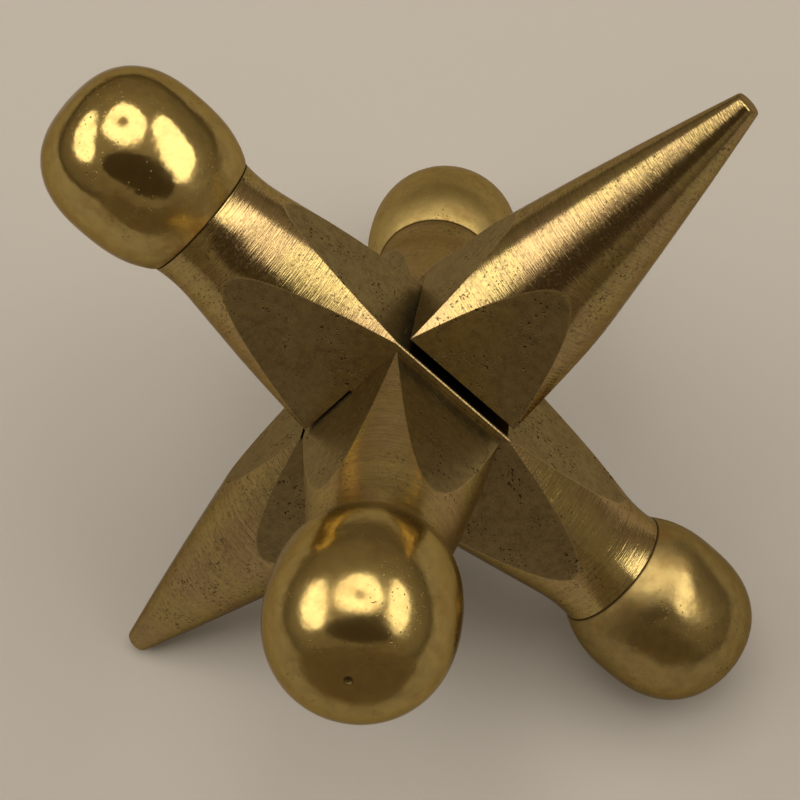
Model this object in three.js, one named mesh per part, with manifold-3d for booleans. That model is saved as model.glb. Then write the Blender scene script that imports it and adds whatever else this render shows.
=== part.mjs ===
// Brass three-bar take-apart puzzle in the shape of a playing jack.
// Two knobbed bars are half-lapped in a cross. A third bar, pointed at both ends, runs through
// them on a round neck and locks them together. Turned a quarter from rest, the flats on its
// neck line up with a slot in the hidden corner of the cross, and it slides out sideways.
//
// Bar frame: X runs along the upper lap bar, Y along the lower lap bar, Z along the key bar,
// with the centre of the cross at the origin. The whole puzzle is then turned to stand on its
// two low knobs and its low spike. Millimetres throughout.

import * as THREE from 'three';
import { mergeVertices } from 'three/addons/utils/BufferGeometryUtils.js';
import Module from 'manifold-3d';

const wasm = await Module();
wasm.setup();

// ---- driving dimensions -------------------------------------------------------------------
const STOCK = 12.7; // side of the half-inch square brass bar
const BAR_LENGTH = 82.5; // each of the three bars, end to end
const GAP = 0.3; // clearance between neighbouring pieces

const KNOB_DIAMETER = 15.8;
const KNOB_LENGTH = 15.3;
const KNOB_WIDEST = 0.44; // where the knob is widest, as a share of its length from the seam
const KNOB_END_POWER = 2.5; // roundness of the outer end; 2 would be an ellipse
const KNOB_NECK_POWER = 2.6; // how late the knob draws in towards the seam
const SEAM_DIAMETER = 12.4; // bar and knob meet at this diameter

const ARM_WAIST_DIAMETER = 12.0; // narrowest turned part of a knobbed arm
const ARM_WAIST_AT = 23.4; // its distance from the centre of the cross

const SPIKE_TIP_AT = 41.45; // from the middle of the key bar to its blunt end
const SPIKE_END_RADIUS = 1.25;
const SPIKE_RIM = 0.25; // rounding of the blunt end's rim
const SPIKE_BOW = 0.3; // how far the spike's side bulges past a straight taper at mid-length

const LAP_LIFT = 0.3; // the lap bars stand this far off the centre plane, one each way
const KEY_LIFT = 0.4; // the loose key sits this far towards its upper end
const KEY_NECK_LENGTH = 14.7;
const KEY_NECK_DIAMETER = 6.35;
const KEY_FLAT_WIDTH = 3.4; // across the two flats milled on the neck

const STUD_DIAMETER = 4.8;
const STUD_LENGTH = 12;
const STUD_CHAMFER = 0.6;

const BAR_SEGMENTS = 48;
const KNOB_SEGMENTS = 36;
const STUD_SEGMENTS = 20;

// ---- dimensions that follow ---------------------------------------------------------------
const HALF_STOCK = STOCK / 2;
const HALF_LENGTH = BAR_LENGTH / 2;
const CORNER_RADIUS = STOCK / Math.SQRT2; // half-diagonal of the square bar
const SEAM_AT = HALF_LENGTH - KNOB_LENGTH;
const HALF_NECK = KEY_NECK_LENGTH / 2;
const AMPLE = 3 * BAR_LENGTH; // for cutters that only need to be long enough

const X_AXIS = new THREE.Vector3(1, 0, 0);
const Y_AXIS = new THREE.Vector3(0, 1, 0);
const Z_AXIS = new THREE.Vector3(0, 0, 1);

// ---- solids -------------------------------------------------------------------------------
function toSolid(geometry) {
  const shell = geometry.clone();
  shell.deleteAttribute('normal');
  shell.deleteAttribute('uv');
  const merged = mergeVertices(shell, 1e-5);
  return new wasm.Manifold(
    new wasm.Mesh({
      numProp: 3,
      vertProperties: new Float32Array(merged.attributes.position.array),
      triVerts: new Uint32Array(merged.index.array),
    }),
  );
}

function toGeometry(solid) {
  const mesh = solid.getMesh();
  const geometry = new THREE.BufferGeometry();
  geometry.setAttribute('position', new THREE.BufferAttribute(mesh.vertProperties, 3));
  geometry.setIndex(new THREE.BufferAttribute(mesh.triVerts, 1));
  geometry.computeVertexNormals();
  return geometry;
}

// A turned solid. Its profile is a list of [radius, distance along the axis], from low to high.
function turned(profile, axis, segments) {
  const points = profile.map(([radius, along]) => new THREE.Vector2(radius, along));
  const geometry = new THREE.LatheGeometry(points, segments);
  const turn = new THREE.Quaternion().setFromUnitVectors(Y_AXIS, axis);
  return geometry.applyQuaternion(turn);
}

// A box given by its lowest and highest corners.
function block(low, high) {
  const size = high.map((value, i) => value - low[i]);
  const middle = high.map((value, i) => (value + low[i]) / 2);
  return new THREE.BoxGeometry(...size).translate(...middle);
}

// A round cutter along an axis, from one distance to another.
function drill(diameter, axis, from, to, segments) {
  const radius = diameter / 2;
  return turned([[0, from], [radius, from], [radius, to], [0, to]], axis, segments);
}

// ---- profiles -----------------------------------------------------------------------------
// Half of a knobbed bar's turned outline, from the seam in to the centre of the cross.
// The taper meets the corners of the square bar exactly where the cross begins.
function armProfile() {
  const slope = (CORNER_RADIUS - ARM_WAIST_DIAMETER / 2) / (ARM_WAIST_AT - HALF_STOCK);
  const end = SEAM_AT - GAP / 2;
  const flareMiddle = (ARM_WAIST_AT + end) / 2;
  const flare = (SEAM_DIAMETER - ARM_WAIST_DIAMETER) / 2;
  return [
    [0, end],
    [SEAM_DIAMETER / 2, end],
    [ARM_WAIST_DIAMETER / 2 + flare / 4, flareMiddle],
    [ARM_WAIST_DIAMETER / 2, ARM_WAIST_AT],
    [CORNER_RADIUS + slope * HALF_STOCK, 0],
  ];
}

// One spike of the key bar, from its blunt end in to the shoulder of the neck.
function spikeProfile() {
  const rimAt = SPIKE_TIP_AT - SPIKE_RIM;
  const taperLength = rimAt - HALF_NECK;
  const faceRadius = SPIKE_END_RADIUS - SPIKE_RIM;
  const points = [[0, SPIKE_TIP_AT]];
  for (const degrees of [90, 45]) {
    const angle = THREE.MathUtils.degToRad(degrees);
    points.push([faceRadius + SPIKE_RIM * Math.cos(angle), rimAt + SPIKE_RIM * Math.sin(angle)]);
  }
  for (const share of [0, 0.2, 0.4, 0.6, 0.8, 1]) {
    const straight = THREE.MathUtils.lerp(SPIKE_END_RADIUS, CORNER_RADIUS, share);
    const bow = 4 * SPIKE_BOW * share * (1 - share);
    points.push([straight + bow, rimAt - taperLength * share]);
  }
  return points;
}

// The knob's outer outline, from the seam to its end, measured from the seam.
function knobOutline() {
  const widest = KNOB_DIAMETER / 2;
  const neck = SEAM_DIAMETER / 2;
  const length = KNOB_LENGTH - GAP / 2;
  const points = [];
  for (const share of [0, 0.08, 0.16, 0.26, 0.36, 0.44, 0.58, 0.7, 0.8, 0.88, 0.94, 0.98, 1]) {
    const inward = Math.max(0, (KNOB_WIDEST - share) / KNOB_WIDEST);
    const outward = Math.max(0, (share - KNOB_WIDEST) / (1 - KNOB_WIDEST));
    const round = (1 - outward ** KNOB_END_POWER) ** (1 / KNOB_END_POWER);
    const radius = (widest - (widest - neck) * inward ** KNOB_NECK_POWER) * round;
    points.push([share === 1 ? 0 : radius, share * length]);
  }
  return points;
}

// ---- pieces -------------------------------------------------------------------------------
// Blind holes for the two studs in the ends of a lap bar.
function studHoles(axis) {
  const depth = STUD_LENGTH / 2 + GAP;
  const bore = STUD_DIAMETER + 2 * GAP;
  const far = drill(bore, axis, SEAM_AT - depth, SEAM_AT + GAP, STUD_SEGMENTS);
  const near = drill(bore, axis, -SEAM_AT - GAP, -SEAM_AT + depth, STUD_SEGMENTS);
  return toSolid(far).add(toSolid(near));
}

// The round hole for the key's neck, with the slot that runs out through the hidden corner.
function keyway() {
  const bore = drill(KEY_NECK_DIAMETER + 2 * GAP, Z_AXIS, -STOCK, STOCK, BAR_SEGMENTS);
  const halfSlot = KEY_FLAT_WIDTH / 2 + GAP;
  const slot = block([-halfSlot, 0, -STOCK], [halfSlot, 2 * STOCK, STOCK]);
  slot.rotateZ(THREE.MathUtils.degToRad(135));
  return toSolid(bore).add(toSolid(slot));
}

// A knobbed bar along the given axis: a square bar with both arms turned to a taper, cut half
// away where the other bar crosses it. The side is +1 for the upper bar and -1 for the lower.
function lapBar(axis, side) {
  const arm = armProfile();
  const otherArm = arm.slice(0, -1).map(([radius, along]) => [radius, -along]);
  const outline = [...otherArm, ...arm.reverse()];
  const blank = toSolid(turned(outline, axis, BAR_SEGMENTS));
  const half = [X_AXIS, Y_AXIS, Z_AXIS].map((each) => (each === axis ? AMPLE : HALF_STOCK));
  const square = toSolid(block(half.map((value) => -value), half));
  const notchHalf = HALF_STOCK + GAP;
  const across = [X_AXIS, Y_AXIS].map((each) => (each === axis ? notchHalf : AMPLE));
  const heights = [side * (GAP / 2 - LAP_LIFT), -side * AMPLE].sort((a, b) => a - b);
  const notch = toSolid(
    block([-across[0], -across[1], heights[0]], [across[0], across[1], heights[1]]),
  );
  const cutters = notch.add(keyway()).add(studHoles(axis));
  return toGeometry(blank.intersect(square).subtract(cutters));
}

// The locking bar: two spikes and a round neck between them, with two flats milled on the neck.
// At rest the flats face the hidden corner, so the neck is too wide for the slot.
function keyBar() {
  const spike = spikeProfile();
  const neckRadius = KEY_NECK_DIAMETER / 2;
  const upper = [...spike].reverse();
  const lower = spike.map(([radius, along]) => [radius, -along]);
  const outline = [...lower, [neckRadius, -HALF_NECK], [neckRadius, HALF_NECK], ...upper];
  const blank = toSolid(turned(outline, Z_AXIS, BAR_SEGMENTS));
  const square = toSolid(
    block([-HALF_STOCK, -HALF_STOCK, -AMPLE], [HALF_STOCK, HALF_STOCK, AMPLE]),
  );
  let bar = blank.intersect(square);
  for (const side of [-1, 1]) {
    const waste = block(
      [-KEY_NECK_DIAMETER, side > 0 ? KEY_FLAT_WIDTH / 2 : -KEY_NECK_DIAMETER, -HALF_NECK],
      [KEY_NECK_DIAMETER, side > 0 ? KEY_NECK_DIAMETER : -KEY_FLAT_WIDTH / 2, HALF_NECK],
    );
    waste.rotateZ(THREE.MathUtils.degToRad(-45));
    bar = bar.subtract(toSolid(waste));
  }
  return toGeometry(bar);
}

// A knob standing on its seam at the origin, with the blind hole for its stud.
function knob(axis) {
  const boreRadius = STUD_DIAMETER / 2 + GAP;
  const depth = STUD_LENGTH / 2 + GAP;
  const outline = [[0, depth], [boreRadius, depth], [boreRadius, 0], ...knobOutline()];
  return turned(outline, axis, KNOB_SEGMENTS);
}

// The stud that joins a knob to its bar, half in each, centred on the seam.
function stud(axis) {
  const radius = STUD_DIAMETER / 2;
  const half = STUD_LENGTH / 2;
  const outline = [
    [0, -half],
    [radius - STUD_CHAMFER, -half],
    [radius, -half + STUD_CHAMFER],
    [radius, half - STUD_CHAMFER],
    [radius - STUD_CHAMFER, half],
    [0, half],
  ];
  return turned(outline, axis, STUD_SEGMENTS);
}

// ---- finishes -----------------------------------------------------------------------------
const barBrass = new THREE.MeshStandardMaterial({ color: 0x9c8350, roughness: 0.42, metalness: 1 });
const keyBrass = new THREE.MeshStandardMaterial({ color: 0xa98a4d, roughness: 0.4, metalness: 1 });
const knobBrass = new THREE.MeshStandardMaterial({ color: 0xb8923a, roughness: 0.18, metalness: 1 });
const studSteel = new THREE.MeshStandardMaterial({ color: 0x8c8c8c, roughness: 0.45, metalness: 1 });

// ---- assembly -----------------------------------------------------------------------------
function piece(name, geometry, material, position = new THREE.Vector3()) {
  const mesh = new THREE.Mesh(geometry, material);
  mesh.name = name;
  mesh.position.copy(position);
  return mesh;
}

const puzzle = new THREE.Group();
puzzle.name = 'jack_puzzle';

const upperCross = new THREE.Vector3(0, 0, LAP_LIFT);
const lowerCross = new THREE.Vector3(0, 0, -LAP_LIFT);
const keyCentre = new THREE.Vector3(0, 0, KEY_LIFT);

puzzle.add(piece('upper_lap_bar', lapBar(X_AXIS, 1), barBrass, upperCross));
puzzle.add(piece('lower_lap_bar', lapBar(Y_AXIS, -1), barBrass, lowerCross));
puzzle.add(piece('spike_key_bar', keyBar(), keyBrass, keyCentre));

const arms = [
  { place: 'left', axis: X_AXIS.clone(), centre: upperCross },
  { place: 'right', axis: X_AXIS.clone().negate(), centre: upperCross },
  { place: 'front', axis: Y_AXIS.clone(), centre: lowerCross },
  { place: 'back', axis: Y_AXIS.clone().negate(), centre: lowerCross },
];
for (const { place, axis, centre } of arms) {
  const seam = centre.clone().addScaledVector(axis, SEAM_AT);
  const foot = centre.clone().addScaledVector(axis, SEAM_AT + GAP / 2);
  puzzle.add(piece(`knob_${place}`, knob(axis), knobBrass, foot));
  puzzle.add(piece(`stud_${place}`, stud(axis), studSteel, seam));
}

// ---- how it stands ------------------------------------------------------------------------
// The lowest point of a turned outline along an axis, when up is the given direction.
function lowestPoint(outline, axis, start, up) {
  const down = axis.clone().multiplyScalar(up.dot(axis)).sub(up).normalize();
  let lowest = null;
  for (const [radius, along] of outline) {
    const point = start.clone().addScaledVector(axis, along).addScaledVector(down, radius);
    if (lowest === null || point.dot(up) < lowest.dot(up)) lowest = point;
  }
  return lowest;
}

// Up, when the puzzle stands on its right knob, its back knob and its low spike. Each guess at
// the direction gives three touching points, and their plane gives a better one.
function standingUp() {
  const right = X_AXIS.clone().negate();
  const back = Y_AXIS.clone().negate();
  const low = Z_AXIS.clone().negate();
  const rightFoot = upperCross.clone().addScaledVector(right, SEAM_AT + GAP / 2);
  const backFoot = lowerCross.clone().addScaledVector(back, SEAM_AT + GAP / 2);
  const up = new THREE.Vector3(1, 1, 1).normalize();
  for (let step = 0; step < 20; step += 1) {
    const feet = [
      lowestPoint(knobOutline(), right, rightFoot, up),
      lowestPoint(knobOutline(), back, backFoot, up),
      lowestPoint(spikeProfile(), low, keyCentre, up),
    ];
    up.copy(new THREE.Plane().setFromCoplanarPoints(...feet).normal);
    if (up.dot(Z_AXIS) < 0) up.negate();
  }
  return up;
}

// Stand the puzzle up with the front knob towards -Y, then put the origin under its middle.
const up = standingUp();
const front = Y_AXIS.clone().addScaledVector(up, -up.dot(Y_AXIS)).normalize();
const side = new THREE.Vector3().crossVectors(up, front);
const toBarFrame = new THREE.Matrix4().makeBasis(side, front.clone().negate(), up);
const upright = new THREE.Quaternion().setFromRotationMatrix(toBarFrame).invert();
puzzle.quaternion.copy(upright);
const box = new THREE.Box3().setFromObject(puzzle, true);
puzzle.position.set(-(box.min.x + box.max.x) / 2, -(box.min.y + box.max.y) / 2, -box.min.z);

const model = new THREE.Group();
model.add(puzzle);

export default model;
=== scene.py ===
# %% [markdown]
# # A brass jack puzzle
#
# Three square brass bars cross at right angles. Two carry turned knobs and are half-lapped into
# a cross; the third is pointed at both ends, turns on a hidden round neck, and locks the cross.
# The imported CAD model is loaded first. It stays where it is, and every finer piece made here
# takes its place from it.

import math

import bpy
from mathutils import Matrix, Vector


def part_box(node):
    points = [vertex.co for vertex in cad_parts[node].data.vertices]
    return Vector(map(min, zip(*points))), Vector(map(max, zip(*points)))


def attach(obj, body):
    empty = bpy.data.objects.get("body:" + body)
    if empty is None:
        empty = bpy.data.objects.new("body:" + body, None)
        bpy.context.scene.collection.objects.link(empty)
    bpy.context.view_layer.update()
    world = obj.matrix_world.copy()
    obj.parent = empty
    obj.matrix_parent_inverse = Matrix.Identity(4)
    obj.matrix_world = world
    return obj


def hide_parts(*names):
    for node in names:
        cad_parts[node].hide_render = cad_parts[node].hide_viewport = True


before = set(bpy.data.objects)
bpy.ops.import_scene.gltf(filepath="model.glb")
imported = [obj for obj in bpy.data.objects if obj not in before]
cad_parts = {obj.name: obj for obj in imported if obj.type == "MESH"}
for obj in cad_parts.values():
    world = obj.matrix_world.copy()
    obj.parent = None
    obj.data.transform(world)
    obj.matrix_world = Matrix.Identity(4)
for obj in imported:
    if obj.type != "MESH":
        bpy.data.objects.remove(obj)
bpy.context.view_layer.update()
bpy.ops.object.select_all(action="DESELECT")

# %% [markdown]
# The four studs are plain rods centred on the seams, so the middles of their boxes give the
# bars' directions and centres. The key bar is the same at both ends, so the middle of its box is
# its centre. Each place below is a matrix that carries a piece modelled along its own X axis to
# where it belongs. The flats of a square bar then face its own Y and Z.

# %% Directions and places
MM = 0.001


def middle_of(node):
    low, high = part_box(node)
    return (low + high) / 2


stud_left, stud_right, stud_front, stud_back = (
    middle_of(f"stud_{side}") for side in ("left", "right", "front", "back")
)
upper_way = (stud_left - stud_right).normalized()
lower_way = (stud_front - stud_back).normalized()
key_way = upper_way.cross(lower_way).normalized()
upper_centre = (stud_left + stud_right) / 2
lower_centre = (stud_front + stud_back) / 2
cross_centre = (upper_centre + lower_centre) / 2
key_centre = middle_of("spike_key_bar")
SEAM_AT = (stud_left - stud_right).length / 2


def place(centre, x_way, y_way):
    z_way = x_way.cross(y_way)
    return Matrix.Translation(centre) @ Matrix((x_way, y_way, z_way)).transposed().to_4x4()


UPPER_PLACE = place(upper_centre, upper_way, lower_way)
LOWER_PLACE = place(lower_centre, lower_way, -upper_way)
KEY_PLACE = place(key_centre, key_way, upper_way)
KNOB_PLACES = {
    "left": place(stud_left, upper_way, lower_way),
    "right": place(stud_right, -upper_way, -lower_way),
    "front": place(stud_front, lower_way, -upper_way),
    "back": place(stud_back, -lower_way, upper_way),
}
print("seam to centre of the cross:", round(SEAM_AT / MM, 2), "mm")

# %% [markdown]
# ## The camera
#
# It looks down on the puzzle from the front, a hand's span away, through a long lens. The way
# it stands off and the way to its right are given along the three bars, because the bars are
# what one sees turning as the camera is moved round.

# %% Camera
VIEW_ALONG_BARS = (0.2772, 0.8542, 0.4398)
RIGHT_ALONG_BARS = (-0.7300, -0.1104, 0.6745)
CAMERA_DISTANCE = 190.2 * MM
LENS_TO_SENSOR = 2.5706
SENSOR = 36.0
FRAME_SHIFT = (-0.0141, 0.0005)
NEAREST = 10 * MM
FARTHEST = 40

along_bars = Matrix((upper_way, lower_way, key_way)).transposed()
view_way = (along_bars @ Vector(VIEW_ALONG_BARS)).normalized()
up_way = view_way.cross(along_bars @ Vector(RIGHT_ALONG_BARS)).normalized()
camera_data = bpy.data.cameras.new("camera")
camera_data.sensor_width = SENSOR
camera_data.lens = LENS_TO_SENSOR * SENSOR
camera_data.shift_x, camera_data.shift_y = FRAME_SHIFT
camera_data.clip_start = NEAREST
camera_data.clip_end = FARTHEST
camera = bpy.data.objects.new("camera", camera_data)
bpy.context.collection.objects.link(camera)
camera.location = cross_centre + view_way * CAMERA_DISTANCE
right_way = up_way.cross(view_way)
camera.rotation_euler = Matrix((right_way, up_way, view_way)).transposed().to_euler()
bpy.context.scene.camera = camera
print("camera height:", round(camera.location.z / MM), "mm")

# %% [markdown]
# ## Driving sizes
#
# The bars are half-inch square brass. The turned tapers meet the bar's corner edges exactly
# where the cross begins, so the flats run out along each arm in arched scallops.

# %% Sizes
STOCK = 12.7 * MM
HALF_STOCK = STOCK / 2
HALF_DIAGONAL = STOCK / math.sqrt(2)
BAR_LENGTH = 82.5 * MM
KNOB_DIAMETER = 15.8 * MM
KNOB_LENGTH = BAR_LENGTH / 2 - SEAM_AT
SEAM_DIAMETER = 12.4 * MM
WAIST_DIAMETER = 12.0 * MM
WAIST_AT = 23.4 * MM
FLARE_FROM = 21.8 * MM
SPIKE_TIP_AT = 41.45 * MM
SPIKE_END_RADIUS = 1.25 * MM
SPIKE_RIM = 0.25 * MM
SPIKE_BOW = 0.3 * MM
LAP_LIFT = (upper_centre - cross_centre).length
HALF_NECK = 7.35 * MM
NECK_DIAMETER = 6.35 * MM
FLAT_WIDTH = 3.4 * MM
BORE_GAP = 0.3 * MM
STUD_HOLE_DIAMETER = 5.4 * MM
STUD_HOLE_DEPTH = 6.3 * MM
TIGHT = 0.04 * MM
LOOSE = 0.24 * MM
FILED = 0.10 * MM
ROUND_STEPS = 160
SAME_POINT = 0.001 * MM
print("knob length:", round(KNOB_LENGTH / MM, 2), "mm, lap lift:", round(LAP_LIFT / MM, 2), "mm")

# %% [markdown]
# ## Tools for turning and cutting
#
# A lathe makes a solid by turning an outline round an axis. In Blender the same is done by hand
# with one vertex, extruded from point to point along the outline, and the Spin tool. Milling is
# a Boolean with a block, and drilling is one with a cylinder. Each helper leaves one clean object,
# ready for the next step.


# %% Turning
def select_only(piece):
    bpy.ops.object.select_all(action="DESELECT")
    bpy.context.view_layer.objects.active = piece
    piece.select_set(True)


def turned(name, outline):
    """Spins an outline of (distance along X, radius) points round the X axis."""
    bpy.ops.object.select_all(action="DESELECT")
    bpy.ops.mesh.primitive_plane_add(size=MM)
    piece = bpy.context.object
    piece.name = name
    bpy.ops.object.mode_set(mode="EDIT")
    bpy.ops.mesh.merge(type="CENTER")
    points = [Vector((along, radius, 0)) for along, radius in outline]
    bpy.ops.transform.translate(value=points[0])
    for here, there in zip(points, points[1:]):
        bpy.ops.mesh.extrude_vertices_move(TRANSFORM_OT_translate={"value": there - here})
    bpy.ops.mesh.select_all(action="SELECT")
    bpy.ops.mesh.spin(steps=ROUND_STEPS, angle=math.tau, center=(0, 0, 0), axis=(1, 0, 0))
    bpy.ops.mesh.select_all(action="SELECT")
    bpy.ops.mesh.remove_doubles(threshold=SAME_POINT)
    bpy.ops.mesh.normals_make_consistent(inside=False)
    bpy.ops.object.mode_set(mode="OBJECT")
    return piece


# %% Cutting
CUTTER_SIDES = 64


def block(low, high):
    """A cutting block between two corners."""
    low, high = Vector(low), Vector(high)
    bpy.ops.object.select_all(action="DESELECT")
    bpy.ops.mesh.primitive_cube_add(size=1, location=(low + high) / 2, scale=high - low)
    return bpy.context.object


def drill(diameter, start, end):
    """A round cutter from one point to another."""
    start, end = Vector(start), Vector(end)
    way = end - start
    bpy.ops.object.select_all(action="DESELECT")
    bpy.ops.mesh.primitive_cylinder_add(
        vertices=CUTTER_SIDES,
        radius=diameter / 2,
        depth=way.length,
        location=(start + end) / 2,
        rotation=way.to_track_quat("Z", "Y").to_euler(),
    )
    return bpy.context.object


def combine(piece, tool, operation):
    """Applies a Boolean to the piece and throws the tool away."""
    change = piece.modifiers.new("cut", "BOOLEAN")
    change.operation = operation
    change.object = tool
    change.solver = "EXACT"
    select_only(piece)
    bpy.ops.object.modifier_apply(modifier=change.name)
    bpy.data.objects.remove(tool)


def cut_turned(bar, low, high, degrees):
    """Cuts with a block that is turned round the bar's own axis."""
    waste = block(low, high)
    turn = Matrix.Rotation(math.radians(degrees), 3, "X")
    waste.location = turn @ waste.location
    waste.rotation_euler = turn.to_euler()
    combine(bar, waste, "DIFFERENCE")


# %% [markdown]
# A real edge is never perfectly sharp, so a narrow Bevel rounds every edge and lets it catch the
# light. Booleans leave some points almost on top of each other, and a Bevel that meets such a
# sliver shrinks to nothing on the whole piece. The slivers are therefore merged first, and once
# more afterwards. Weighted normals then keep the flats flat right up to their rounded edges.

# %% Rounded edges
SLIVER_BEFORE = 0.010 * MM
SLIVER_AFTER = 0.003 * MM
ROUNDING = 0.08 * MM
SHARP_FROM = math.radians(8)


def clear_slivers(piece, smallest):
    """Merges the points that lie closer together than the smallest distance."""
    select_only(piece)
    bpy.ops.object.mode_set(mode="EDIT")
    bpy.ops.mesh.select_all(action="SELECT")
    bpy.ops.mesh.remove_doubles(threshold=smallest)
    bpy.ops.mesh.dissolve_degenerate(threshold=smallest)
    bpy.ops.object.mode_set(mode="OBJECT")


def break_edges(piece):
    """Rounds the sharp edges a little, as a file and years of handling do."""
    clear_slivers(piece, SLIVER_BEFORE)
    edges = piece.modifiers.new("broken_edges", "BEVEL")
    edges.width = ROUNDING
    edges.segments = 2
    edges.limit_method = "ANGLE"
    edges.angle_limit = SHARP_FROM
    bpy.ops.object.modifier_apply(modifier=edges.name)
    clear_slivers(piece, SLIVER_AFTER)
    bpy.ops.object.shade_smooth_by_angle(angle=SHARP_FROM)
    shading = piece.modifiers.new("flats_stay_flat", "WEIGHTED_NORMAL")
    shading.weight = 100
    shading.keep_sharp = True
    bpy.ops.object.modifier_apply(modifier=shading.name)


# %% Putting a piece in place
def put_in_place(piece, matrix, body, node):
    """Bakes the piece's place into its mesh and tells the frame what it stands for."""
    piece.matrix_world = matrix
    select_only(piece)
    bpy.ops.object.transform_apply(location=True, rotation=True, scale=True)
    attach(piece, body)
    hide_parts(node)
    print(piece.name, "has", len(piece.data.polygons), "faces")


# %% [markdown]
# ## The knobbed bars
#
# A turned outline is intersected with the square bar, which leaves round tapers with four
# scalloped flats. The notch for the other bar, the bore for the key's neck and the slot in the
# hidden corner come out afterwards, so the joints between the bars show as the real hairlines.


# %% Arm outline
TAPER_SLOPE = (HALF_DIAGONAL - WAIST_DIAMETER / 2) / (WAIST_AT - HALF_STOCK)
TAPER_AT_SEAM = HALF_DIAGONAL - TAPER_SLOPE * (SEAM_AT - HALF_STOCK)
FLARE_RISE = (SEAM_DIAMETER / 2 - TIGHT - TAPER_AT_SEAM) / (SEAM_AT - FLARE_FROM) ** 2


def arm_radius(along):
    """The straight taper, and past the start of the flare a smooth rise to the seam."""
    taper = HALF_DIAGONAL - TAPER_SLOPE * (along - HALF_STOCK)
    return taper + FLARE_RISE * max(0, along - FLARE_FROM) ** 2


def arm_outline():
    """Points from the middle of the bar to its end, closest together on the flare."""
    end = SEAM_AT - TIGHT
    places = [0, HALF_STOCK]
    places += [HALF_STOCK + share / 4 * (FLARE_FROM - HALF_STOCK) for share in (1, 2, 3, 4)]
    places += [FLARE_FROM + share / 8 * (end - FLARE_FROM) for share in range(1, 9)]
    return [(along, arm_radius(along)) for along in places] + [(end, 0)]


print("narrowest radius of an arm:", round(min(r for _, r in arm_outline()[:-1]) / MM, 2), "mm")


# %% Lap bar
def square_bar(name, half_outline):
    """Turns both ends from one half's outline and cuts the result to the square bar."""
    other_half = [(-along, radius) for along, radius in half_outline[:0:-1]]
    bar = turned(name, other_half + half_outline)
    stock = block(
        (-BAR_LENGTH, -HALF_STOCK, -HALF_STOCK),
        (BAR_LENGTH, HALF_STOCK, HALF_STOCK),
    )
    combine(bar, stock, "INTERSECT")
    return bar


def cut_notch(bar, side, slack):
    """Cuts the half-lap; slack opens its wall towards the positive end."""
    lap = side * (TIGHT - LAP_LIFT)
    beyond = -side * STOCK
    low = (-HALF_STOCK - TIGHT, -STOCK, min(lap, beyond))
    high = (HALF_STOCK + slack, STOCK, max(lap, beyond))
    combine(bar, block(low, high), "DIFFERENCE")


def cut_bore_and_keyway(bar, slot_turn):
    """The round bore for the key's neck, and the slot that lets the neck out of one corner."""
    bore = drill(NECK_DIAMETER + 2 * BORE_GAP, (0, 0, -STOCK), (0, 0, STOCK))
    combine(bar, bore, "DIFFERENCE")
    half_slot = FLAT_WIDTH / 2 + BORE_GAP
    keyway = block((0, -half_slot, -STOCK), (2 * STOCK, half_slot, STOCK))
    angle = math.radians(slot_turn)
    keyway.rotation_euler = (0, 0, angle)
    keyway.location = (STOCK * math.cos(angle), STOCK * math.sin(angle), 0)
    combine(bar, keyway, "DIFFERENCE")


def file_long_edges(bar, side):
    """Flattens the two corner edges that run past the key, as a file leaves them."""
    reach = HALF_STOCK + FILED / TAPER_SLOPE
    for corner in (45, 135):
        low = (-reach, HALF_DIAGONAL - FILED, -STOCK)
        cut_turned(bar, low, (reach, STOCK, STOCK), side * corner)


def cut_stud_holes(bar):
    for end in (-1, 1):
        mouth = (end * (SEAM_AT + MM), 0, 0)
        bottom = (end * (SEAM_AT - STUD_HOLE_DEPTH), 0, 0)
        combine(bar, drill(STUD_HOLE_DIAMETER, mouth, bottom), "DIFFERENCE")


def lap_bar(name, matrix, side, slack, slot_turn):
    """A knobbed bar; side is +1 for the upper one and -1 for the lower one."""
    bar = square_bar(name, arm_outline())
    cut_notch(bar, side, slack)
    cut_bore_and_keyway(bar, slot_turn)
    file_long_edges(bar, side)
    cut_stud_holes(bar)
    break_edges(bar)
    put_in_place(bar, matrix, "cross", name.replace("_brass", ""))
    return bar


upper_bar = lap_bar("upper_lap_bar_brass", UPPER_PLACE, 1, LOOSE, -135)
lower_bar = lap_bar("lower_lap_bar_brass", LOWER_PLACE, -1, TIGHT, 135)

# %% [markdown]
# ## The key bar
#
# Both spikes are turned with a slight bow, and end in a small blunt face. The square part
# shrinks to the round neck at two square shoulders, and the neck has two flats.

# %% Spikes
SPIKE_RIM_AT = SPIKE_TIP_AT - SPIKE_RIM
SPIKE_STEPS = 16


def spike_outline():
    """Half the neck, the shoulder, the bowed spike, its rounded rim and its blunt face."""
    points = [(0, NECK_DIAMETER / 2), (HALF_NECK, NECK_DIAMETER / 2)]
    for step in range(SPIKE_STEPS + 1):
        share = 1 - step / SPIKE_STEPS
        straight = SPIKE_END_RADIUS + share * (HALF_DIAGONAL - SPIKE_END_RADIUS)
        bow = 4 * SPIKE_BOW * share * (1 - share)
        points.append((SPIKE_RIM_AT - (SPIKE_RIM_AT - HALF_NECK) * share, straight + bow))
    for degrees in (22, 45, 68, 90):
        angle = math.radians(degrees)
        radius = SPIKE_END_RADIUS - SPIKE_RIM * (1 - math.cos(angle))
        points.append((SPIKE_RIM_AT + SPIKE_RIM * math.sin(angle), radius))
    return points + [(SPIKE_TIP_AT, 0)]


def key_bar():
    """The spiked bar, with two flats milled on its neck."""
    bar = square_bar("spike_key_bar_brass", spike_outline())
    for degrees in (-45, 135):
        low = (-HALF_NECK, -STOCK, FLAT_WIDTH / 2)
        cut_turned(bar, low, (HALF_NECK, STOCK, STOCK), degrees)
    break_edges(bar)
    put_in_place(bar, KEY_PLACE, "key", "spike_key_bar")
    return bar


key = key_bar()

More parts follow.
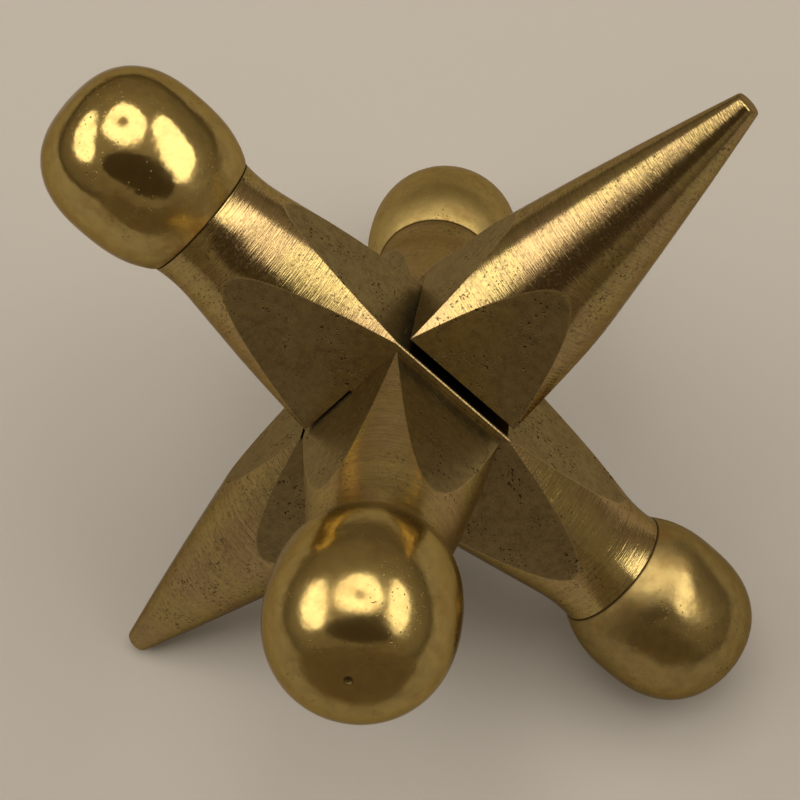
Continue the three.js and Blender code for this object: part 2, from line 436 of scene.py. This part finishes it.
# %% [markdown]
# ## The knobs
#
# Each knob was turned and then shaped by hand, so it is a little barrel-shaped, with a flatter
# end and the lathe's small centre mark in it. One knob is turned, and a copy of it, with a mesh of
# its own, goes to each of the four ends.

# %% Knob outline
KNOB_WIDEST = 0.44
KNOB_END_POWER = 2.5
KNOB_NECK_POWER = 2.6
KNOB_STEPS = 56
CENTRE_MARK = 0.35 * MM
MARK_RIM = 0.01 * MM
KNOB_SMOOTH_BELOW = math.radians(30)


def knob_radius(share):
    """Radius of the knob at a share of its length from the seam."""
    inward = max(0, (KNOB_WIDEST - share) / KNOB_WIDEST)
    outward = max(0, (share - KNOB_WIDEST) / (1 - KNOB_WIDEST))
    rounding = (1 - outward**KNOB_END_POWER) ** (1 / KNOB_END_POWER)
    narrowing = (KNOB_DIAMETER - SEAM_DIAMETER) / 2 * inward**KNOB_NECK_POWER
    return (KNOB_DIAMETER / 2 - narrowing) * rounding


def knob_outline():
    """The stud's hole, the flat face at the seam, the barrel and the centre mark."""
    hole = STUD_HOLE_DIAMETER / 2
    points = [(STUD_HOLE_DEPTH, 0), (STUD_HOLE_DEPTH, hole), (TIGHT, hole)]
    points.append((TIGHT, SEAM_DIAMETER / 2 - TIGHT))
    for step in range(1, KNOB_STEPS):
        share = math.sin(step / KNOB_STEPS * math.pi / 2)
        points.append((KNOB_LENGTH * share, knob_radius(share)))
    points.append((KNOB_LENGTH - MARK_RIM, CENTRE_MARK))
    points.append((KNOB_LENGTH - CENTRE_MARK, 0))
    return points


# %% Knobs
first_knob = turned("first_knob", knob_outline())
bpy.ops.object.shade_smooth_by_angle(angle=KNOB_SMOOTH_BELOW)
for side, matrix in KNOB_PLACES.items():
    knob = first_knob.copy()
    knob.data = first_knob.data.copy()
    knob.name = f"knob_{side}_brass"
    bpy.context.collection.objects.link(knob)
    put_in_place(knob, matrix, "cross", f"knob_{side}")
bpy.data.objects.remove(first_knob)

# %% [markdown]
# ## Wiring a finish
#
# A finish is a sum of small effects: lathe lines, drawn lines, pits, tarnish and worn edges.
# Written as Python expressions they stay readable. A Wire is an output socket; arithmetic on it
# adds Math nodes. Everything else comes from one method, `node`.


# %% Wires
class Wire:
    """An output socket that Python arithmetic turns into Math nodes."""

    def __init__(self, finish, socket):
        self.finish = finish
        self.socket = socket

    def math(self, operation, first, second):
        return self.finish.node("ShaderNodeMath", {"operation": operation}, {0: first, 1: second})

    def __add__(self, other):
        return self.math("ADD", self, other)

    def __radd__(self, other):
        return self.math("ADD", other, self)

    def __sub__(self, other):
        return self.math("SUBTRACT", self, other)

    def __rsub__(self, other):
        return self.math("SUBTRACT", other, self)

    def __mul__(self, other):
        return self.math("MULTIPLY", self, other)

    def __rmul__(self, other):
        return self.math("MULTIPLY", other, self)

    def __pow__(self, other):
        return self.math("POWER", self, other)

    def __abs__(self):
        return self.math("ABSOLUTE", self, 0)

    def high(self, other):
        return self.math("MAXIMUM", self, other)

    def step(self, start, end):
        """Runs smoothly from 0 at start to 1 at end; start may be the larger."""
        settings = {"interpolation_type": "SMOOTHSTEP"}
        values = {"Value": self, "From Min": start, "From Max": end, "To Min": 0, "To Max": 1}
        return self.finish.node("ShaderNodeMapRange", settings, values)


# %% Finishes
EDGE_TINT = (0.60, 0.53, 0.42, 1)


class Finish:
    """A metal material whose pattern follows one piece's own directions, in millimetres."""

    def __init__(self, name, matrix):
        self.material = bpy.data.materials.new(name)
        self.material.use_nodes = True
        self.tree = self.material.node_tree
        self.shader = self.tree.nodes["Principled BSDF"]
        self.shader.inputs["Metallic"].default_value = 1.0
        self.shader.inputs["Specular Tint"].default_value = EDGE_TINT
        object_place = self.node("ShaderNodeTexCoord", output="Object")
        centred = {
            "Vector": object_place,
            "Location": matrix.to_translation(),
            "Rotation": matrix.to_euler(),
            "Scale": (MM, MM, MM),
        }
        self.at = self.node("ShaderNodeMapping", {"vector_type": "TEXTURE"}, centred)
        parts = {"Vector": self.at}
        self.x, self.y, self.z = (
            self.node("ShaderNodeSeparateXYZ", inputs=parts, output=axis) for axis in "XYZ"
        )

    def node(self, kind, settings=None, inputs=None, output=0):
        """Adds a node with these settings and these values or links, and gives one output."""
        made = self.tree.nodes.new(kind)
        for name, value in (settings or {}).items():
            setattr(made, name, value)
        for name, value in (inputs or {}).items():
            if isinstance(value, Wire):
                self.tree.links.new(value.socket, made.inputs[name])
            else:
                made.inputs[name].default_value = value
        return Wire(self, made.outputs[output])

    def from_axis(self):
        """The distance from the piece's own axis."""
        return (self.y * self.y + self.z * self.z) ** 0.5

    def stretched(self, along, across):
        """The piece's own directions, with a different density along and across its axis."""
        by = (along, across, across)
        return self.node("ShaderNodeVectorMath", {"operation": "MULTIPLY"}, {0: self.at, 1: by})

    def noise(self, where, scale, detail=2.0, rough=0.5, shift=0.0):
        """Cloudy noise around 0.5; the shift picks another part of it."""
        values = {"Vector": where, "W": shift, "Scale": scale, "Detail": detail, "Roughness": rough}
        return self.node("ShaderNodeTexNoise", {"noise_dimensions": "4D"}, values)

    def blend(self, share, first, second):
        """Mixes two colours."""
        sockets = {0: share, 6: first, 7: second}
        return self.node("ShaderNodeMix", {"data_type": "RGBA"}, sockets, output=2)

    def finish(self, colour, roughness, height):
        """Connects the three results; height is in millimetres."""
        bump = self.node("ShaderNodeBump", None, {"Strength": 1.0, "Distance": MM, "Height": height})
        self.tree.links.new(colour.socket, self.shader.inputs["Base Color"])
        self.tree.links.new(roughness.socket, self.shader.inputs["Roughness"])
        self.tree.links.new(bump.socket, self.shader.inputs["Normal"])
        print(self.material.name, "has", len(self.tree.nodes), "nodes")
        return self.material


def wear(piece, material):
    """Gives the piece this material and no other."""
    piece.data.materials.clear()
    piece.data.materials.append(material)


# %% [markdown]
# ## Bar brass
#
# The same square bar shows two surfaces. The flats are the drawn bar as it came: dull, brown,
# pitted, with faint lines along it. The tapers and spikes are fresh from the lathe: brighter,
# with fine rings round them that spread a lamp's reflection into a streak. Where the two meet,
# the edge is worn bright. Distances to the flats and to the turned surface tell them apart, so
# nothing has to be painted.

# %% Bar colours
FRESH_BRASS = (0.48, 0.37, 0.138, 1)
ROSY_BRASS = (0.47, 0.335, 0.15, 1)
OLIVE_BRASS = (0.34, 0.27, 0.125, 1)
BROWN_BRASS = (0.17, 0.12, 0.065, 1)
WORN_BRASS = (0.70, 0.53, 0.25, 1)
PIT_BROWN = (0.05, 0.03, 0.012, 1)
# Near-black colour for the painted shade in the joints and under the key.
JOINT_SHADE = (0.012, 0.009, 0.006, 1)


# %% Bar finish
HALF_SIDE = HALF_STOCK / MM


def bar_finish(name, matrix, turned_radius, crevices, dullness=0.0, age=0.0):
    """turned_radius gives the lathe's radius in mm; dullness and age change its surface."""
    f = Finish(name, matrix)
    radius = f.from_axis()
    to_flat = HALF_SIDE - abs(f.y).high(abs(f.z))
    to_turned = abs(turned_radius(abs(f.x)) - radius)
    flat = to_flat.step(0.03, 0.006)
    edge = (to_flat + to_turned).step(0.05, 0.01)
    corner = (2 * HALF_SIDE - abs(f.y) - abs(f.z)).step(0.28, 0.18)
    # Where shade is painted: the joints and the flat under the key.
    joint_shade = crevices(f, to_flat)

    # Patterns: lathe rings and lines, drawing lines, and what age and handling leave.
    rings = f.noise(f.stretched(4.2, 0.45), 1.0, detail=3, rough=0.7)
    lines = f.noise(f.stretched(8.5, 0.06), 1.0, detail=1, shift=3)
    drawn = f.noise(f.stretched(0.25, 7), 1.0, detail=3, rough=0.6, shift=7)
    patches = f.noise(f.at, 0.17, detail=2, shift=11)
    mottle = f.noise(f.at, 1.3, detail=5, rough=0.7, shift=17)
    grain = f.noise(f.at, 7.0, detail=2, rough=0.6, shift=19)
    specks = f.noise(f.stretched(4.5, 2.5), 1.0, detail=2, shift=21).step(0.53, 0.63)
    pit_field = f.noise(f.at, 4.2, detail=1, shift=23)
    pit_area = f.noise(f.at, 0.30, detail=2, shift=29)
    pits = pit_field.step(0.60, 0.66) * pit_area.step(0.49, 0.58) * (0.7 + flat * 0.3)

    # Colours, from the metal outwards to the pits and the painted shade in the joints.
    hue = patches.step(0.40, 0.60)
    clouds = (mottle * 0.6 + grain * 0.4).step(0.38, 0.64)
    dull = f.blend(clouds * 0.7 + hue * 0.15, OLIVE_BRASS, BROWN_BRASS)
    bright = f.blend(hue, FRESH_BRASS, ROSY_BRASS)
    browning = (clouds + lines.step(0.35, 0.65)) * 0.25 + specks * 0.27 + age
    bright = f.blend(browning, bright, BROWN_BRASS)
    base = f.blend(flat, bright, dull)
    base = f.blend(edge * 0.25, base, WORN_BRASS)
    base = f.blend(corner * 0.55, base, BROWN_BRASS)
    base = f.blend(pits, base, PIT_BROWN)
    # Painted shade darkens the joints and the flats under the key.
    base = f.blend(joint_shade, base, JOINT_SHADE)

    # The turned surface is glossy between its rings, and the flats are dull all over.
    turned_rough = 0.08 + dullness + rings * 0.10 + lines * 0.06 + specks * 0.10
    flat_rough = 0.30 + grain * 0.12
    rough = turned_rough + (flat_rough - turned_rough) * flat + (pits + joint_shade) * 0.3
    rough = rough + corner * 0.12

    turned_height = rings * 0.023 + lines * 0.016 + grain * 0.004
    flat_height = drawn * 0.004 + grain * 0.010 - pits * 0.018
    height = turned_height + (flat_height - turned_height) * flat
    return f.finish(base, rough, height)


# %% Turned surfaces
def arm_radius_mm(along):
    """The arm's outline once more, as nodes and in millimetres."""
    taper = (HALF_DIAGONAL + TAPER_SLOPE * HALF_STOCK) / MM - along * TAPER_SLOPE
    beyond = (along - FLARE_FROM / MM).high(0)
    return taper + beyond * beyond * (FLARE_RISE * MM)


def spike_radius_mm(along):
    """The spike's outline, in the same way."""
    share = (SPIKE_RIM_AT / MM - along) * (MM / (SPIKE_RIM_AT - HALF_NECK))
    straight = SPIKE_END_RADIUS / MM + share * ((HALF_DIAGONAL - SPIKE_END_RADIUS) / MM)
    return straight + share * (1 - share) * (4 * SPIKE_BOW / MM)


# %% [markdown]
# Shade is painted into the joints as a near-black colour: on the walls of the notch and the bore,
# and on the flats under the key's shoulders, where the joints of such a puzzle look black.


# %% Painted shade in the joints
NOTCH_END = (HALF_STOCK + LOOSE) / MM
SHOULDER_AT = HALF_NECK / MM


def lap_crevices(f, to_flat):
    """Painted shade on the inner walls of the notch and the bore, and the flat the key covers."""
    within = abs(f.x).step(NOTCH_END + 0.03, NOTCH_END - 0.07)
    walls = to_flat.step(0.08, 0.16)
    on_flat = abs(f.z).step(HALF_SIDE - 0.20, HALF_SIDE - 0.10)
    inside = abs(f.y).step(HALF_SIDE - 0.13, HALF_SIDE - 0.35)
    short_of_edge = f.x.step(HALF_SIDE + 0.15, HALF_SIDE - 1.15)
    return within * walls.high(on_flat * inside * short_of_edge)


def key_crevices(f, to_flat):
    """Painted shade on the neck, and on the two shoulders that face the cross."""
    return abs(f.x).step(SHOULDER_AT + 0.07, SHOULDER_AT + 0.02)


upper_finish = bar_finish("upper_bar_brass", UPPER_PLACE, arm_radius_mm, lap_crevices)
lower_finish = bar_finish("lower_bar_brass", LOWER_PLACE, arm_radius_mm, lap_crevices, dullness=0.13)
key_finish = bar_finish("key_bar_brass", KEY_PLACE, spike_radius_mm, key_crevices, age=0.17)
wear(upper_bar, upper_finish)
wear(lower_bar, lower_finish)
wear(key, key_finish)

# %% [markdown]
# ## Knob brass
#
# The knobs were polished by hand, some better than others. They mirror the lamps, but softly:
# the surface waves a little, has small pits that the polish didn't reach, and tarnishes brown
# in patches, most of all near the seam, where a cloth can't get in.

# %% Knob colours
POLISHED_BRASS = (0.46, 0.345, 0.128, 1)
HANDLED_BRASS = (0.27, 0.20, 0.082, 1)
TARNISH = (0.32, 0.19, 0.06, 1)
KNOB_DULLNESS = {"left": 0.10, "front": 0.16, "right": 0.19, "back": 0.30}
# How far each knob is darkened towards handled brass: partly tarnish, and on the right knob also
# painted shade for the shadowed table that it mirrors.
KNOB_AGE_AND_SHADE = {"left": 0.0, "front": 0.05, "right": 0.55, "back": 0.0}
SHIFT_PER_KNOB = 31.0


# %% Knob finish
def knob_finish(name, matrix, dullness, age, shift):
    """The shift gives each knob its own part of every noise."""
    f = Finish(name, matrix)

    # What the polishing left: slow waves, lumps, rubbing marks and a few pits.
    waves = f.noise(f.stretched(0.20, 0.16), 1.0, detail=1, shift=shift)
    lumps = f.noise(f.at, 0.55, detail=2, shift=shift + 1)
    rubbing = f.noise(f.stretched(0.9, 3.5), 1.0, detail=3, rough=0.6, shift=shift + 2)
    mottle = f.noise(f.at, 0.8, detail=5, rough=0.65, shift=shift + 5)
    pit_field = f.noise(f.at, 4.0, detail=1, shift=shift + 8)
    pit_area = f.noise(f.at, 0.22, detail=1, shift=shift + 13)
    pits = pit_field.step(0.66, 0.72) * pit_area.step(0.48, 0.60)
    patches = f.noise(f.at, 0.45, detail=3, rough=0.6, shift=shift + 19)

    # Where it tarnished, where dirt stays in the seam, and where the centre mark is darker; x runs
    # from the seam, in millimetres.
    near_seam = f.x.step(5.0, 0.5)
    stain = patches.step(0.50, 0.68) * (0.35 + f.x.step(3.0, 0.2) * 0.5)
    seam_dirt = f.x.step(0.22, 0.06)
    radius = f.from_axis() + (mottle - 0.5) * 0.5
    centre = radius.step(0.50, 0.30) * f.x.step(12.0, 12.5)
    dark_marks = (centre * 0.8).high(seam_dirt * 0.9)

    # Age darkens the brass: tarnish, and on the right knob also painted shade.
    base = f.blend(mottle.step(0.35, 0.70) * 0.45 + age, POLISHED_BRASS, HANDLED_BRASS)
    base = f.blend(stain, base, TARNISH)
    base = f.blend((pits * 0.85).high(dark_marks), base, PIT_BROWN)
    rough = dullness - 0.04 + mottle * 0.14 + stain * 0.12 + (pits + dark_marks) * 0.3
    rough = rough + near_seam * 0.20
    height = waves * 0.16 + lumps * 0.05 + rubbing * (0.02 * dullness) - pits * 0.015
    return f.finish(base, rough, height)


for number, (side, matrix) in enumerate(KNOB_PLACES.items()):
    name = f"{side}_knob_brass"
    shift = SHIFT_PER_KNOB * number
    finish = knob_finish(name, matrix, KNOB_DULLNESS[side], KNOB_AGE_AND_SHADE[side], shift)
    wear(bpy.data.objects[f"knob_{side}_brass"], finish)

# %% [markdown]
# ## Stud steel
#
# The studs are hidden, and are seen only if the puzzle is taken apart. Their CAD shape is right,
# so they only get a finish: plain grey steel with the rings that a die leaves.


# %% Stud finish
DARK_STEEL = (0.36, 0.36, 0.37, 1)
LIGHT_STEEL = (0.56, 0.56, 0.57, 1)


def stud_finish(name, matrix):
    f = Finish(name, matrix)
    rings = f.noise(f.stretched(3.0, 0.05), 1.0, detail=2)
    colour = f.blend(rings, DARK_STEEL, LIGHT_STEEL)
    return f.finish(colour, 0.35 + rings * 0.2, rings * 0.02)


for side, matrix in KNOB_PLACES.items():
    wear(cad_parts[f"stud_{side}"], stud_finish(f"{side}_stud_steel", matrix))

# %% [markdown]
# ## The studio
#
# A pale table and three large soft lamps in a row overhead, in a dim brown room. Polished brass
# shows nothing but its surroundings, so two oval screens stand in front, where a person would,
# and a round one hangs under the middle lamp as its hub. The camera can't see the screens; they
# give the metal its dark accents. The low screen stands close to the table, so it is kept out of
# the table's light and shadows, and shows in the metal alone.

# %% Floor
FLOOR_SIZE = 20
FLOOR_COLOUR = (0.372, 0.353, 0.335)

bpy.ops.object.select_all(action="DESELECT")
bpy.ops.mesh.primitive_plane_add(size=FLOOR_SIZE)
floor = bpy.context.object
floor.name = "floor"


def paint(thing, name, colour):
    """A matt paint for what isn't part of the puzzle."""
    dull = bpy.data.materials.new(name)
    dull.use_nodes = True
    shader = dull.node_tree.nodes["Principled BSDF"]
    shader.inputs["Base Color"].default_value = (*colour, 1)
    shader.inputs["Roughness"].default_value = 0.95
    shader.inputs["Specular IOR Level"].default_value = 0.1
    thing.data.materials.append(dull)


paint(floor, "floor_paint", FLOOR_COLOUR)
print("floor:", FLOOR_SIZE, "m across")


# %% Lamps
LAMP_GLOW = 7.6
LAMP_COLOUR = (1, 0.94, 0.83)
HEART = (0, 0, 0.03)


def facing(where, target=HEART):
    """The turn that points a lamp or a screen from its place at the target."""
    return (Vector(target) - Vector(where)).to_track_quat("-Z", "Y").to_euler()


def lamp(name, where, across, high):
    """An oval lamp, as bright for its size as the others."""
    data = bpy.data.lights.new(name, "AREA")
    data.shape = "ELLIPSE"
    data.size = across
    data.size_y = high
    data.energy = LAMP_GLOW * across * high
    data.color = LAMP_COLOUR
    light = bpy.data.objects.new(name, data)
    bpy.context.collection.objects.link(light)
    light.location = where
    light.rotation_euler = facing(where)
    print(name, "gives", round(data.energy, 2), "W")


lamp("left_lamp", (-0.67, -0.04, 0.62), 1.05, 0.50)
lamp("middle_lamp", (0.01, 0.14, 0.92), 0.84, 0.94)
lamp("right_lamp", (0.64, 0.05, 0.66), 1.10, 0.40)


# %% Screens
SCREEN_SIDES = 64


def screen(name, where, across, high, colour, target=HEART):
    """An oval sheet that the camera can't see, but the metal can."""
    bpy.ops.object.select_all(action="DESELECT")
    bpy.ops.mesh.primitive_circle_add(radius=0.5, vertices=SCREEN_SIDES, fill_type="NGON")
    sheet = bpy.context.object
    sheet.location = where
    sheet.rotation_euler = facing(where, target)
    sheet.name = name
    sheet.scale = (across, high, 1)
    sheet.visible_camera = False
    paint(sheet, f"{name}_paint", colour)
    print(name, "is", across, "by", high, "m")
    return sheet


DARK_CLOTH = (0.20, 0.165, 0.125)
BROWN_CLOTH = (0.30, 0.255, 0.19)
HUB_BRASS = (0.75, 0.62, 0.42)

screen("dark_screen", (0.018, -0.14, 0.20), 0.27, 0.155, DARK_CLOTH)
level = (0.015, 0, 0.045)
low_screen = screen("low_screen", (0.015, -0.12, 0.045), 0.21, 0.088, BROWN_CLOTH, level)
low_screen.visible_shadow = False
low_screen.visible_diffuse = False
screen("lamp_hub", (0.01, 0.14, 0.90), 0.22, 0.22, HUB_BRASS)

# %% [markdown]
# The room is a plain gradient: dark brown from the horizon down, and lighter towards the ceiling.
# It fills in what the lamps leave.

# %% Room
LOW_WALL = (0.11, 0.085, 0.055, 1)
WALL = (0.25, 0.205, 0.142, 1)
WALL_FROM = 0.15
CEILING = (0.42, 0.344, 0.24, 1)

room = bpy.data.worlds.new("room")
bpy.context.scene.world = room
room.use_nodes = True
links = room.node_tree.links
direction = room.node_tree.nodes.new("ShaderNodeTexCoord")
split = room.node_tree.nodes.new("ShaderNodeSeparateXYZ")
shade = room.node_tree.nodes.new("ShaderNodeValToRGB")
shade.color_ramp.elements[0].color = LOW_WALL
shade.color_ramp.elements[1].color = CEILING
shade.color_ramp.elements.new(WALL_FROM).color = WALL
links.new(direction.outputs["Generated"], split.inputs[0])
links.new(split.outputs["Z"], shade.inputs["Fac"])
links.new(shade.outputs["Color"], room.node_tree.nodes["Background"].inputs["Color"])
bpy.context.scene.view_settings.view_transform = "Standard"
print("room:", len(shade.color_ramp.elements), "shades from the horizon to the ceiling")
